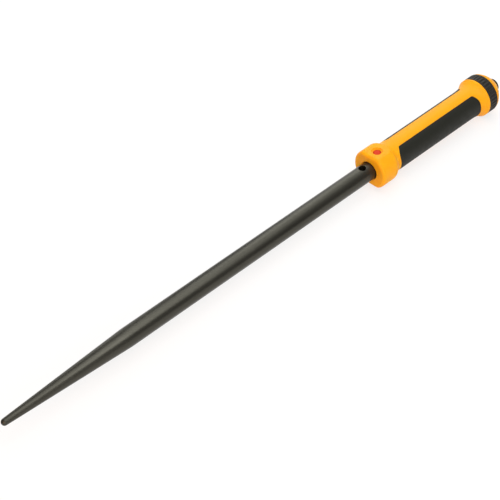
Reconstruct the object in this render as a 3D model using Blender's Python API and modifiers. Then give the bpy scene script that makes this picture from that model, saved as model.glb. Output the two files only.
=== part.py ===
"""Alignment bar with a shank that extends from a moulded handle.

The bar lies along X. The strike cap's face is at the origin and looks along +X, the tapered tip
points along -X, and the lock button is on top, along +Z. Lengths are metres. A button on the collar
pushes a yoke down round the shank, which draws the lock pin out of the shank's cross holes.
"""
import math

import bmesh
import bpy
from mathutils import Matrix, Vector

MM = 0.001

# Handle, seen from outside
HANDLE_LENGTH = 182.5 * MM        # collar's front face to strike face
COLLAR_RADIUS = 19.75 * MM
COLLAR_FULL_LENGTH = 16.4 * MM    # from the front face to where the shoulder starts
COLLAR_FILLET = 3.2 * MM
SHOULDER_LENGTH = 6.2 * MM
GRIP_THICKNESS = 1.65 * MM
FRONT_BAND = 5.8 * MM             # moulded neck between the shoulder and the grip panels
STRIP_HALF_WIDTH = 7.4 * MM       # moulded strips between the two grip panels
PANEL_END_RADIUS = 10.75 * MM     # rounding of the grip panels' ends, seen from the side
PANEL_OVERRUN = 9.8 * MM          # how far the grip panels reach onto the flare
FLARE_LENGTH = 18.0 * MM
FLARE_POWER = 3.4                 # how late the flare turns outwards
FLARE_EVEN_SHARE = 0.08           # share of the flare's rise that is even along its length
RIM_RADIUS = 20.1 * MM
RIM_LAND = 1.8 * MM
END_RING_WIDTH = 11.0 * MM
END_RING_CHAMFER = 0.6 * MM
RIB_COUNT = 34
RIB_GROOVE_WIDTH = 1.8 * MM
RIB_GROOVE_DEPTH = 0.6 * MM
CAP_HEIGHT = 14.0 * MM
CAP_SHOULDER_RADIUS = 19.9 * MM
CAP_CROWN_RADIUS = 8.4 * MM
CAP_POWER = 1.45                  # how domed the end cap is

# Strike cap and anvil
STRIKE_PROUD = 3.6 * MM
STRIKE_RADIUS = 7.2 * MM
STRIKE_CHAMFER = 1.2 * MM
STRIKE_STEM_RADIUS = 5.0 * MM
STRIKE_STEM_ENGAGED = 4.5 * MM
ANVIL_FLANGE_LENGTH = 3.0 * MM
ANVIL_PLUG_LENGTH = 12.5 * MM
ANVIL_PIN_RADIUS = 2.0 * MM

# Shank
SHANK_EXPOSED = 432.3 * MM        # tip to the collar's front face, as drawn
SHANK_RADIUS = 9.0 * MM
TAPER_LENGTH = 131.8 * MM
TIP_RADIUS = 3.2 * MM
SHANK_END_CHAMFER = 0.8 * MM
SHANK_TAIL = 2.4 * MM             # shank behind the slide ring
SLIDE_RING_LENGTH = 6.0 * MM
GUIDE_PIN_RADIUS = 2.0 * MM

# Lock
BUTTON_SETBACK = 11.2 * MM        # collar's front face to the button's axis
LOCK_PITCH = 20.6 * MM
STEPS_IN = 1                      # lock places between the drawn place and fully home
LOCK_HOLE_RADIUS = 3.75 * MM
LOCK_TRAVEL = 1.5 * MM
LOCK_PIN_RADIUS = 3.2 * MM
LOCK_PIN_FLANGE = 0.7 * MM        # the lock pin's flange, beyond its radius
LOCK_PIN_FLANGE_THICKNESS = 0.8 * MM
LOCK_PIN_NOSE = 1.2 * MM
LOCK_PIN_WALL = 0.9 * MM
LOCK_PIN_CLEAR = 0.35 * MM        # lock pin's tip to the shank that slides past it
LOCK_PIN_PROUD = 0.75 * MM        # lock pin's tip above the yoke's lower bar
YOKE_BOSS_WALL = 1.0 * MM         # round the lock pin
BUTTON_RADIUS = 3.7 * MM
BUTTON_DOME = 0.3 * MM
BUTTON_FLANGE = 0.8 * MM
BUTTON_FLANGE_THICKNESS = 0.7 * MM
RECESS_RADIUS = 5.3 * MM
RECESS_DEPTH = 1.2 * MM
RECESS_FLOOR = 1.5 * MM
YOKE_THICKNESS = 3.0 * MM
YOKE_BAR = 2.1 * MM
YOKE_LOWER_BAR = 1.9 * MM
YOKE_LEG = 1.9 * MM
YOKE_SIDE_GAP = 0.4 * MM          # on each side of its legs
YOKE_SPARE_TRAVEL = 0.1 * MM      # left over the shank when the button is fully pressed
YOKE_CORNER = 3.0 * MM
SPRING_WIRE_RADIUS = 0.22 * MM
SPRING_SIDE_GAP = 0.4 * MM
SPRING_TURNS = 5
SPRING_POINTS_PER_TURN = 10
COLLAR_BOTTOM_WALL = 1.5 * MM

# Bearings, tube and walls
GAP = 0.3 * MM                    # between pieces that seat on each other
RUNNING_GAP = 0.25 * MM           # between the shank and its bearings
MOUTH_GAP = 0.5 * MM              # between the shank and the collar's mouth
LIP_LENGTH = 1.6 * MM
WIPER_LENGTH = 1.8 * MM
BUSH_WALL = 1.15 * MM
TUBE_BUSH_LENGTH = 16.0 * MM
TUBE_WALL = 1.5 * MM
CORE_WALL = 1.3 * MM              # moulded wall between the tube and the grip panels
HUB_WALL = 3.4 * MM
HOME_GAP = 0.5 * MM               # shank to anvil when fully home
BODY_PIN_RADIUS = 1.5 * MM
BODY_PIN_SETBACK = 4.0 * MM       # from the grip panels' front edge
PIN_INSET = 0.1 * MM              # how far a pin's ends stay inside what they sit in

# Counts for the mesh
SEGMENTS = 48
HOLE_SEGMENTS = 24
FINE_SEGMENTS = 16
CORNER_STEPS = 5
FLARE_STEPS = 9
DOME_STEPS = 4

# Radii that follow from the shank outwards
tube_bore = SHANK_RADIUS + RUNNING_GAP + BUSH_WALL + GAP
tube_radius = tube_bore + TUBE_WALL
shell_bore = tube_radius + GAP
core_radius = shell_bore + CORE_WALL
panel_inner = core_radius + GAP
grip_radius = panel_inner + GRIP_THICKNESS
hub_radius = shell_bore + HUB_WALL
mouth_radius = SHANK_RADIUS + MOUTH_GAP
bush_bore = SHANK_RADIUS + RUNNING_GAP
through = 2 * max(COLLAR_RADIUS, RIM_RADIUS)   # how far a cutter reaches to pass right through

# Stations along X, from the strike face forwards
cap_crown_x = -STRIKE_PROUD
ring_rear_x = cap_crown_x - CAP_HEIGHT
ring_front_x = ring_rear_x - END_RING_WIDTH
rim_x = ring_front_x - RIM_LAND
flare_x = rim_x - FLARE_LENGTH
panel_rear_x = flare_x + PANEL_OVERRUN
tube_rear_x = ring_rear_x - ANVIL_FLANGE_LENGTH
anvil_front_x = tube_rear_x - ANVIL_PLUG_LENGTH
anvil_pin_x = anvil_front_x + ANVIL_PLUG_LENGTH / 2
anvil_flange_x = tube_rear_x + GAP
cap_seat_x = anvil_flange_x + ANVIL_FLANGE_LENGTH + GAP

# Stations along X, from the collar's front face backwards
collar_x = -HANDLE_LENGTH
shoulder_x = collar_x + COLLAR_FULL_LENGTH
neck_x = shoulder_x + SHOULDER_LENGTH
panel_front_x = neck_x + FRONT_BAND
button_x = collar_x + BUTTON_SETBACK
wiper_x = collar_x + LIP_LENGTH + GAP
front_bush_x = wiper_x + WIPER_LENGTH + GAP
yoke_front_x = button_x - YOKE_THICKNESS / 2
yoke_rear_x = button_x + YOKE_THICKNESS / 2
boss_radius = LOCK_PIN_RADIUS + GAP + YOKE_BOSS_WALL
flange_radius = BUTTON_RADIUS + BUTTON_FLANGE
front_bush_length = yoke_front_x - 2 * GAP - front_bush_x
tube_front_x = button_x + max(boss_radius, flange_radius) + GAP
tube_bush_x = tube_front_x + GAP
body_pin_x = panel_front_x + BODY_PIN_SETBACK

# Shank stations, as drawn: STEPS_IN places out from fully home
tip_x = collar_x - SHANK_EXPOSED
shank_rear_x = anvil_front_x - HOME_GAP - STEPS_IN * LOCK_PITCH
slide_ring_x = shank_rear_x - SHANK_TAIL - SLIDE_RING_LENGTH
guide_pin_x = slide_ring_x + SLIDE_RING_LENGTH / 2
half_slot = GUIDE_PIN_RADIUS + GAP
steps_out = int((guide_pin_x - half_slot - tube_bush_x - TUBE_BUSH_LENGTH) / LOCK_PITCH)
slot_front_x = guide_pin_x - steps_out * LOCK_PITCH - half_slot
slot_rear_x = guide_pin_x + STEPS_IN * LOCK_PITCH + half_slot

# Heights of the lock, from the shank's top up to the collar's flat and its bottom down to the other
yoke_opening_top = SHANK_RADIUS + GAP + LOCK_TRAVEL + YOKE_SPARE_TRAVEL
yoke_top = yoke_opening_top + YOKE_BAR
button_base = yoke_top + GAP
button_flange_top = button_base + BUTTON_FLANGE_THICKNESS
button_room_top = button_flange_top + GAP
recess_z = button_room_top + RECESS_FLOOR
flat_z = recess_z + RECESS_DEPTH
lock_pin_top = -SHANK_RADIUS - LOCK_PIN_CLEAR
yoke_opening_bottom = lock_pin_top - LOCK_PIN_PROUD
yoke_bottom = yoke_opening_bottom - YOKE_LOWER_BAR
yoke_room_bottom = yoke_bottom - LOCK_TRAVEL - GAP
lock_pin_base = yoke_bottom - GAP - LOCK_PIN_FLANGE_THICKNESS
spring_room_bottom = -flat_z + COLLAR_BOTTOM_WALL
spring_bottom = spring_room_bottom + GAP
spring_top = lock_pin_top - LOCK_PIN_NOSE - GAP
spring_bore = LOCK_PIN_RADIUS - LOCK_PIN_WALL
spring_radius = spring_bore - SPRING_SIDE_GAP - SPRING_WIRE_RADIUS
yoke_half_opening = SHANK_RADIUS + YOKE_SIDE_GAP
yoke_half_width = yoke_half_opening + YOKE_LEG


def clear_scene():
    """Remove every object of the open file."""
    for obj in list(bpy.data.objects):
        bpy.data.objects.remove(obj, do_unlink=True)


def linear(channel):
    """One sRGB channel from 0 to 1 as a linear value."""
    return channel / 12.92 if channel <= 0.04045 else ((channel + 0.055) / 1.055) ** 2.4


def material(name, colour, roughness, metallic=0.0):
    """A Principled material from a hex colour."""
    mat = bpy.data.materials.new(name)
    mat.use_nodes = True
    shader = mat.node_tree.nodes["Principled BSDF"]
    rgb = [linear(int(colour[i:i + 2], 16) / 255) for i in (1, 3, 5)]
    shader.inputs["Base Color"].default_value = (*rgb, 1.0)
    shader.inputs["Roughness"].default_value = roughness
    shader.inputs["Metallic"].default_value = metallic
    mat.diffuse_color = (*rgb, 1.0)
    return mat


def add_object(name, mesh, collection, mat=None, parent=None, location=(0.0, 0.0, 0.0)):
    """Link a mesh as an object that stands at a world location under its parent empty."""
    obj = bpy.data.objects.new(name, mesh)
    collection.objects.link(obj)
    if mat:
        obj.data.materials.append(mat)
    if parent:
        obj.parent = parent
        obj.location = Vector(location) - parent.location
    else:
        obj.location = location
    return obj


def add_empty(name, collection, location):
    """An empty that carries one moving group, on its joint's axis."""
    empty = bpy.data.objects.new(name, None)
    empty.location = location
    collection.objects.link(empty)
    return empty


def arc(centre_x, centre_r, radius, start, end, steps):
    """Points of an arc in the (x, r) plane, angles in degrees."""
    angles = [math.radians(start + (end - start) * i / steps) for i in range(steps + 1)]
    return [(centre_x + radius * math.cos(a), centre_r + radius * math.sin(a)) for a in angles]


def turned_mesh(name, profile, closed):
    """The edges of a profile in the XZ plane, for a Screw modifier about X."""
    mesh = bpy.data.meshes.new(name)
    count = len(profile)
    edges = [(i, i + 1) for i in range(count - 1)]
    if closed:
        edges.append((count - 1, 0))
    mesh.from_pydata([(x, 0.0, r) for x, r in profile], edges, [])
    return mesh


def turned(name, profile, collection, mat=None, parent=None, x=0.0, closed=True, segments=SEGMENTS):
    """A turned solid: (x, r) points from front to rear along the outside, then back inside."""
    obj = add_object(name, turned_mesh(name, profile, closed), collection, mat, parent, (x, 0.0, 0.0))
    screw = obj.modifiers.new("Turn", "SCREW")
    screw.axis = "X"
    screw.angle = 2 * math.pi
    screw.steps = segments
    screw.render_steps = segments
    screw.use_merge_vertices = True
    screw.merge_threshold = 1e-6
    screw.use_normal_flip = True
    screw.use_smooth_shade = True
    return obj


def ring_profile(length, inner, outer, chamfer=0.0):
    """A plain ring's closed profile, with its outer edges chamfered."""
    if not chamfer:
        return [(0.0, outer), (length, outer), (length, inner), (0.0, inner)]
    return [(0.0, outer - chamfer), (chamfer, outer), (length - chamfer, outer),
            (length, outer - chamfer), (length, inner), (0.0, inner)]


def cylinder_mesh(name, radius, start, end, axis, segments):
    """A capped cylinder along one axis, from start to end on it."""
    mesh = bpy.data.meshes.new(name)
    bm = bmesh.new()
    turn = {"X": Matrix.Rotation(math.pi / 2, 4, "Y"), "Y": Matrix.Rotation(math.pi / 2, 4, "X"),
            "Z": Matrix.Identity(4)}[axis]
    bmesh.ops.create_cone(bm, cap_ends=True, segments=segments, radius1=radius, radius2=radius,
                          depth=abs(end - start), matrix=turn)
    offset = {"X": (1, 0, 0), "Y": (0, 1, 0), "Z": (0, 0, 1)}[axis]
    bmesh.ops.translate(bm, verts=bm.verts, vec=Vector(offset) * (start + end) / 2)
    bm.to_mesh(mesh)
    bm.free()
    return mesh


def box_mesh(name, size_x, size_y, size_z, corner=0.0, corner_axis="X", steps=CORNER_STEPS):
    """A box about its own centre, with the four edges along one axis rounded."""
    mesh = bpy.data.meshes.new(name)
    bm = bmesh.new()
    bmesh.ops.create_cube(bm, size=1.0)
    bmesh.ops.scale(bm, verts=bm.verts, vec=(size_x, size_y, size_z))
    if corner:
        along = "XYZ".index(corner_axis)
        edges = [e for e in bm.edges if abs((e.verts[0].co - e.verts[1].co)[along]) > 1e-9]
        bmesh.ops.bevel(bm, geom=edges, offset=corner, segments=steps, profile=0.5, affect="EDGES")
    bm.to_mesh(mesh)
    bm.free()
    return mesh


def boolean(target, cutter, operation="DIFFERENCE"):
    """Cut, join or intersect the target with another object."""
    mod = target.modifiers.new(f"{operation.title()} {cutter.name}", "BOOLEAN")
    mod.operation = operation
    mod.object = cutter
    return mod


def as_cutter(obj):
    """Mark an object as a cutter, which isn't drawn or built."""
    obj.hide_render = True
    obj.display_type = "WIRE"
    return obj


def box_cutter(name, cutters, x, y, z, corner=0.0, corner_axis="X"):
    """A box cutter between two values on each axis."""
    mesh = box_mesh(name, x[1] - x[0], y[1] - y[0], z[1] - z[0], corner, corner_axis)
    centre = ((x[0] + x[1]) / 2, (y[0] + y[1]) / 2, (z[0] + z[1]) / 2)
    return as_cutter(add_object(name, mesh, cutters, location=centre))


def hole_cutter(name, cutters, radius, start, end, axis, location, segments=HOLE_SEGMENTS):
    """A cylinder cutter along one axis through a location."""
    mesh = cylinder_mesh(name, radius, start, end, axis, segments)
    return as_cutter(add_object(name, mesh, cutters, location=location))


def shoulder_points():
    """The collar's convex rear shoulder, down to the grip's radius."""
    drop = COLLAR_RADIUS - grip_radius
    points = []
    for i in range(1, CORNER_STEPS + 1):
        angle = math.pi / 2 * i / CORNER_STEPS
        points.append((shoulder_x + SHOULDER_LENGTH * math.sin(angle),
                       COLLAR_RADIUS - drop * (1 - math.cos(angle))))
    return points


def flare_radius(x):
    """The handle's outer radius on the bell-shaped flare."""
    share = min(max((x - flare_x) / FLARE_LENGTH, 0.0), 1.0)
    rise = FLARE_EVEN_SHARE * share + (1 - FLARE_EVEN_SHARE) * share ** FLARE_POWER
    return grip_radius + (RIM_RADIUS - grip_radius) * rise


def outside_points(start, end):
    """The grip's outer profile between two stations, with the flare's even steps between them."""
    stations = [flare_x + FLARE_LENGTH * i / FLARE_STEPS for i in range(FLARE_STEPS + 1)]
    inside = [x for x in stations if start + GAP / 2 < x < end - GAP / 2]
    return [(x, flare_radius(x)) for x in [start, *inside, end]]


def panel_prism(name, cutters, side, inset):
    """A prism along Y that bounds one grip panel between the strips, with its ends rounded."""
    half_height = grip_radius - inset
    return box_cutter(name, cutters, (panel_front_x + inset, panel_rear_x - inset),
                      sorted((side * (STRIP_HALF_WIDTH + inset), side * through)),
                      (-half_height, half_height), PANEL_END_RADIUS - inset, "Y")


def make_handle_shell(parts, cutters, mat, root):
    """The moulded body: collar, strips and flare in one piece, with room for all it holds."""
    fillet = arc(collar_x + COLLAR_FILLET, COLLAR_RADIUS - COLLAR_FILLET, COLLAR_FILLET, 180, 90,
                 CORNER_STEPS)
    profile = fillet + [(shoulder_x, COLLAR_RADIUS)] + shoulder_points()
    profile += outside_points(panel_front_x, rim_x)
    profile += [(ring_front_x, RIM_RADIUS), (ring_front_x, shell_bore),
                (collar_x + LIP_LENGTH, shell_bore), (collar_x + LIP_LENGTH, mouth_radius),
                (collar_x, mouth_radius)]
    shell = turned("handle_shell", profile, parts, mat, root)

    for side, name in ((1, "flat_top_cut"), (-1, "flat_bottom_cut")):
        z_range = sorted((side * flat_z, side * through))
        boolean(shell, box_cutter(name, cutters, (collar_x - GAP, neck_x), (-through, through),
                                  z_range))
    for side, name in ((1, "left"), (-1, "right")):
        prism = panel_prism(f"panel_room_{name}", cutters, side, 0.0)
        sleeve_profile = ring_profile(panel_rear_x - panel_front_x + 2 * GAP, core_radius, through)
        sleeve = turned(f"panel_sleeve_{name}", sleeve_profile, cutters, x=panel_front_x - GAP)
        boolean(as_cutter(sleeve), prism, "INTERSECT")
        boolean(shell, sleeve)

    room_x = (yoke_front_x - GAP, yoke_rear_x + GAP)
    half_width = yoke_half_width + YOKE_SIDE_GAP
    boolean(shell, box_cutter("yoke_room", cutters, room_x, (-half_width, half_width),
                              (yoke_room_bottom, yoke_top + GAP), YOKE_CORNER))
    at_button = (button_x, 0.0, 0.0)
    boolean(shell, hole_cutter("spring_room", cutters, boss_radius + GAP, spring_room_bottom, 0.0,
                               "Z", at_button))
    boolean(shell, hole_cutter("button_flange_room", cutters, flange_radius + GAP, 0.0,
                               button_room_top, "Z", at_button))
    boolean(shell, hole_cutter("button_hole", cutters, BUTTON_RADIUS + GAP, 0.0, flat_z + GAP, "Z",
                               at_button))
    boolean(shell, hole_cutter("button_recess", cutters, RECESS_RADIUS, recess_z, flat_z + GAP, "Z",
                               at_button, SEGMENTS))
    boolean(shell, hole_cutter("body_pin_room", cutters, BODY_PIN_RADIUS + GAP, -grip_radius,
                               grip_radius, "Y", (body_pin_x, 0.0, 0.0), FINE_SEGMENTS))
    return shell


def make_grip_panel(name, side, parts, cutters, mat, root):
    """One soft grip panel: a sleeve cut to the panel's rounded outline."""
    start = panel_front_x - GAP
    end = panel_rear_x + GAP
    profile = outside_points(start, end) + [(end, panel_inner), (start, panel_inner)]
    panel = turned(name, profile, parts, mat, root)
    boolean(panel, panel_prism(f"{name}_outline", cutters, side, GAP), "INTERSECT")
    return panel


def make_wiper_ring(parts, mat, root):
    """Rubber wiper behind the collar's lip."""
    profile = ring_profile(WIPER_LENGTH, bush_bore, tube_radius)
    return turned("wiper_ring", profile, parts, mat, root, wiper_x)


def make_front_bush(parts, cutters, mat, root):
    """Bearing in the collar's nose, ahead of the yoke and notched for its boss and the button."""
    profile = ring_profile(front_bush_length, bush_bore, tube_radius)
    bush = turned("front_bush", profile, parts, mat, root, front_bush_x)
    for name, radius, reach in (("boss_notch", boss_radius, -through),
                                ("button_notch", flange_radius, through)):
        boolean(bush, hole_cutter(name, cutters, radius + GAP, 0.0, reach, "Z",
                                  (button_x, 0.0, 0.0)))
    return bush


def make_guide_tube(parts, cutters, mat, root):
    """Steel tube with a slot on each side for the guide pin."""
    profile = ring_profile(tube_rear_x - tube_front_x, tube_bore, tube_radius)
    tube = turned("guide_tube", profile, parts, mat, root, tube_front_x)
    boolean(tube, box_cutter("guide_slots", cutters, (slot_front_x, slot_rear_x),
                             (-through, through), (-half_slot, half_slot)))
    boolean(tube, hole_cutter("body_pin_holes", cutters, BODY_PIN_RADIUS + GAP, -through, through,
                              "Y", (body_pin_x, 0.0, 0.0), FINE_SEGMENTS))
    boolean(tube, hole_cutter("anvil_pin_hole", cutters, ANVIL_PIN_RADIUS + GAP, -through, through,
                              "Z", (anvil_pin_x, 0.0, 0.0), FINE_SEGMENTS))
    return tube


def make_tube_bush(parts, mat, root):
    """Second bearing, inside the tube's front end."""
    profile = ring_profile(TUBE_BUSH_LENGTH, bush_bore, bush_bore + BUSH_WALL)
    return turned("tube_bush", profile, parts, mat, root, tube_bush_x)


def make_body_pins(parts, mat, root):
    """Two short pins under the grip panels that hold the moulded body on the tube."""
    inner = tube_bore + PIN_INSET
    outer = core_radius - PIN_INSET
    for side, name in ((1, "body_pin_left"), (-1, "body_pin_right")):
        mesh = cylinder_mesh(name, BODY_PIN_RADIUS, side * inner, side * outer, "Y", FINE_SEGMENTS)
        add_object(name, mesh, parts, mat, root, (body_pin_x, 0.0, 0.0))


def make_strike_anvil(parts, cutters, mat, root):
    """Steel plug in the tube's rear end, with a flange on the tube and a threaded socket."""
    plug_radius = tube_bore - GAP
    flange_end = ANVIL_PLUG_LENGTH + GAP + ANVIL_FLANGE_LENGTH
    profile = [(0.0, 0.0), (0.0, plug_radius), (ANVIL_PLUG_LENGTH + GAP, plug_radius),
               (ANVIL_PLUG_LENGTH + GAP, tube_radius), (flange_end, tube_radius), (flange_end, 0.0)]
    anvil = turned("strike_anvil", profile, parts, mat, root, anvil_front_x, closed=False)
    boolean(anvil, hole_cutter("anvil_socket", cutters, STRIKE_STEM_RADIUS + GAP,
                               anvil_front_x + flange_end - STRIKE_STEM_ENGAGED - GAP,
                               anvil_front_x + flange_end + GAP, "X", (0.0, 0.0, 0.0)))
    boolean(anvil, hole_cutter("anvil_cross_hole", cutters, ANVIL_PIN_RADIUS + GAP, -through,
                               through, "Z", (anvil_pin_x, 0.0, 0.0), FINE_SEGMENTS))
    return anvil


def make_anvil_pin(parts, mat, root):
    """Cross pin through tube and anvil."""
    reach = tube_radius - PIN_INSET
    mesh = cylinder_mesh("anvil_pin", ANVIL_PIN_RADIUS, -reach, reach, "Z", FINE_SEGMENTS)
    return add_object("anvil_pin", mesh, parts, mat, root, (anvil_pin_x, 0.0, 0.0))


def make_end_ring(parts, cutters, mat, root):
    """Ribbed rubber ring round the end cap's hub."""
    length = END_RING_WIDTH - GAP
    x = ring_front_x + GAP
    profile = ring_profile(length, hub_radius + GAP, RIM_RADIUS, END_RING_CHAMFER)
    ring = turned("end_ring", profile, parts, mat, root, x, segments=2 * RIB_COUNT)
    mesh = bpy.data.meshes.new("rib_grooves")
    bm = bmesh.new()
    for i in range(RIB_COUNT):
        spin = Matrix.Rotation(2 * math.pi * i / RIB_COUNT, 4, "X")
        place = spin @ Matrix.Translation((0.0, 0.0, RIM_RADIUS))
        size = (2 * END_RING_WIDTH, RIB_GROOVE_WIDTH, 2 * RIB_GROOVE_DEPTH)
        bmesh.ops.create_cube(bm, size=1.0, matrix=place @ Matrix.Diagonal((*size, 1.0)))
    bm.to_mesh(mesh)
    bm.free()
    grooves = as_cutter(add_object("rib_grooves", mesh, cutters,
                                   location=(x + length / 2, 0.0, 0.0)))
    boolean(ring, grooves)
    return ring


def make_end_cap(parts, mat, root):
    """Orange end cap: a hub inside the ribbed ring and a domed cone behind it."""
    hub_front = ring_front_x + GAP
    cone = []
    length = cap_crown_x - ring_rear_x - GAP
    for i in range(CORNER_STEPS + 1):
        share = i / CORNER_STEPS
        drop = (CAP_SHOULDER_RADIUS - CAP_CROWN_RADIUS) * share ** CAP_POWER
        cone.append((ring_rear_x + GAP + length * share, CAP_SHOULDER_RADIUS - drop))
    stem = STRIKE_STEM_RADIUS + GAP
    profile = [(hub_front, hub_radius), (ring_rear_x + GAP, hub_radius)] + cone
    profile += [(cap_crown_x, stem), (cap_seat_x, stem), (cap_seat_x, shell_bore),
                (hub_front, shell_bore)]
    return turned("end_cap", profile, parts, mat, root)


def make_strike_cap(parts, mat, root):
    """Hardened cap whose stem screws into the anvil and clamps the end cap."""
    head_x = cap_crown_x + GAP
    stem_x = anvil_flange_x + ANVIL_FLANGE_LENGTH - STRIKE_STEM_ENGAGED
    profile = [(stem_x, 0.0), (stem_x, STRIKE_STEM_RADIUS), (head_x, STRIKE_STEM_RADIUS),
               (head_x, STRIKE_RADIUS), (-STRIKE_CHAMFER, STRIKE_RADIUS),
               (0.0, STRIKE_RADIUS - STRIKE_CHAMFER), (0.0, 0.0)]
    return turned("strike_cap", profile, parts, mat, root, closed=False)


def make_shank(parts, cutters, mat, carrier):
    """The long bar: rounded tip, straight taper, parallel shank and a row of cross holes."""
    half_angle = math.asin((SHANK_RADIUS - TIP_RADIUS) / TAPER_LENGTH)
    nose = arc(TIP_RADIUS, 0.0, TIP_RADIUS, 180, 90 + math.degrees(half_angle), CORNER_STEPS)
    nose[0] = (0.0, 0.0)
    length = shank_rear_x - tip_x
    profile = nose + [(TAPER_LENGTH, SHANK_RADIUS), (length - SHANK_END_CHAMFER, SHANK_RADIUS),
                      (length, SHANK_RADIUS - SHANK_END_CHAMFER), (length, 0.0)]
    shank = turned("shank", profile, parts, mat, carrier, tip_x, closed=False)
    for i in range(STEPS_IN + steps_out + 1):
        x = button_x + (i - STEPS_IN) * LOCK_PITCH
        boolean(shank, hole_cutter(f"lock_hole_{i + 1}", cutters, LOCK_HOLE_RADIUS, -through,
                                   through, "Z", (x, 0.0, 0.0)))
    boolean(shank, hole_cutter("guide_pin_hole", cutters, half_slot, -through, through, "Y",
                               (guide_pin_x, 0.0, 0.0), FINE_SEGMENTS))
    return shank


def make_slide_ring(parts, cutters, mat, carrier):
    """Guide ring pinned on the shank's rear end."""
    profile = ring_profile(SLIDE_RING_LENGTH, SHANK_RADIUS + GAP, tube_bore - GAP)
    ring = turned("slide_ring", profile, parts, mat, carrier, slide_ring_x)
    boolean(ring, hole_cutter("slide_ring_hole", cutters, half_slot, -through, through, "Y",
                              (guide_pin_x, 0.0, 0.0), FINE_SEGMENTS))
    return ring


def make_guide_pin(parts, mat, carrier):
    """Cross pin whose ends run in the tube's slots."""
    reach = tube_radius - PIN_INSET
    mesh = cylinder_mesh("guide_pin", GUIDE_PIN_RADIUS, -reach, reach, "Y", FINE_SEGMENTS)
    return add_object("guide_pin", mesh, parts, mat, carrier, (guide_pin_x, 0.0, 0.0))


def make_lock_button(parts, mat, carrier):
    """Red button: a slightly domed head, with a flange that keeps it in the collar."""
    profile = [(button_base, 0.0), (button_base, flange_radius), (button_flange_top, flange_radius),
               (button_flange_top, BUTTON_RADIUS)]
    for i in range(DOME_STEPS, -1, -1):
        share = i / DOME_STEPS
        profile.append((recess_z - BUTTON_DOME * share ** 2, BUTTON_RADIUS * share))
    button = turned("lock_button", profile, parts, mat, carrier, button_x, closed=False,
                    segments=HOLE_SEGMENTS)
    button.rotation_euler = (0.0, -math.pi / 2, 0.0)
    return button


def make_lock_yoke(parts, cutters, mat, carrier):
    """Stirrup round the shank: the button pushes its top bar, its lower bar holds the lock pin."""
    height = yoke_top - yoke_bottom
    middle = (yoke_top + yoke_bottom) / 2
    mesh = box_mesh("lock_yoke", YOKE_THICKNESS, 2 * yoke_half_width, height, YOKE_CORNER)
    yoke = add_object("lock_yoke", mesh, parts, mat, carrier, (button_x, 0.0, middle))
    boss = cylinder_mesh("yoke_boss", boss_radius, yoke_bottom, yoke_opening_bottom + GAP, "Z",
                         HOLE_SEGMENTS)
    boolean(yoke, as_cutter(add_object("yoke_boss", boss, cutters, location=(button_x, 0.0, 0.0))),
            "UNION")
    boolean(yoke, box_cutter("yoke_opening", cutters, (button_x - through, button_x + through),
                             (-yoke_half_opening, yoke_half_opening),
                             (yoke_opening_bottom, yoke_opening_top), YOKE_CORNER / 2))
    boolean(yoke, hole_cutter("yoke_pin_hole", cutters, LOCK_PIN_RADIUS + GAP, -through, 0.0,
                              "Z", (button_x, 0.0, 0.0)))
    return yoke


def make_lock_pin(parts, cutters, mat, carrier):
    """Hollow lock pin under the shank, open below for its spring."""
    profile = [(lock_pin_base, 0.0), (lock_pin_base, LOCK_PIN_RADIUS + LOCK_PIN_FLANGE),
               (lock_pin_base + LOCK_PIN_FLANGE_THICKNESS, LOCK_PIN_RADIUS + LOCK_PIN_FLANGE),
               (lock_pin_base + LOCK_PIN_FLANGE_THICKNESS, LOCK_PIN_RADIUS),
               (lock_pin_top, LOCK_PIN_RADIUS), (lock_pin_top, 0.0)]
    pin = turned("lock_pin", profile, parts, mat, carrier, button_x, closed=False,
                 segments=HOLE_SEGMENTS)
    pin.rotation_euler = (0.0, -math.pi / 2, 0.0)
    boolean(pin, hole_cutter("lock_pin_bore", cutters, spring_bore, -through,
                             lock_pin_top - LOCK_PIN_NOSE, "Z", (button_x, 0.0, 0.0)))
    return pin


def make_lock_spring(parts, mat, carrier):
    """Compression spring between the collar's bottom and the lock pin."""
    curve = bpy.data.curves.new("lock_spring", "CURVE")
    curve.dimensions = "3D"
    curve.bevel_depth = SPRING_WIRE_RADIUS
    curve.bevel_resolution = 1
    curve.use_fill_caps = True
    count = SPRING_TURNS * SPRING_POINTS_PER_TURN + 1
    low = spring_bottom + SPRING_WIRE_RADIUS
    rise = spring_top - SPRING_WIRE_RADIUS - low
    spline = curve.splines.new("POLY")
    spline.points.add(count - 1)
    for i, point in enumerate(spline.points):
        angle = 2 * math.pi * i / SPRING_POINTS_PER_TURN
        point.co = (spring_radius * math.cos(angle), spring_radius * math.sin(angle),
                    low + rise * i / (count - 1), 1.0)
    return add_object("lock_spring", curve, parts, mat, carrier, (button_x, 0.0, 0.0))


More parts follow.
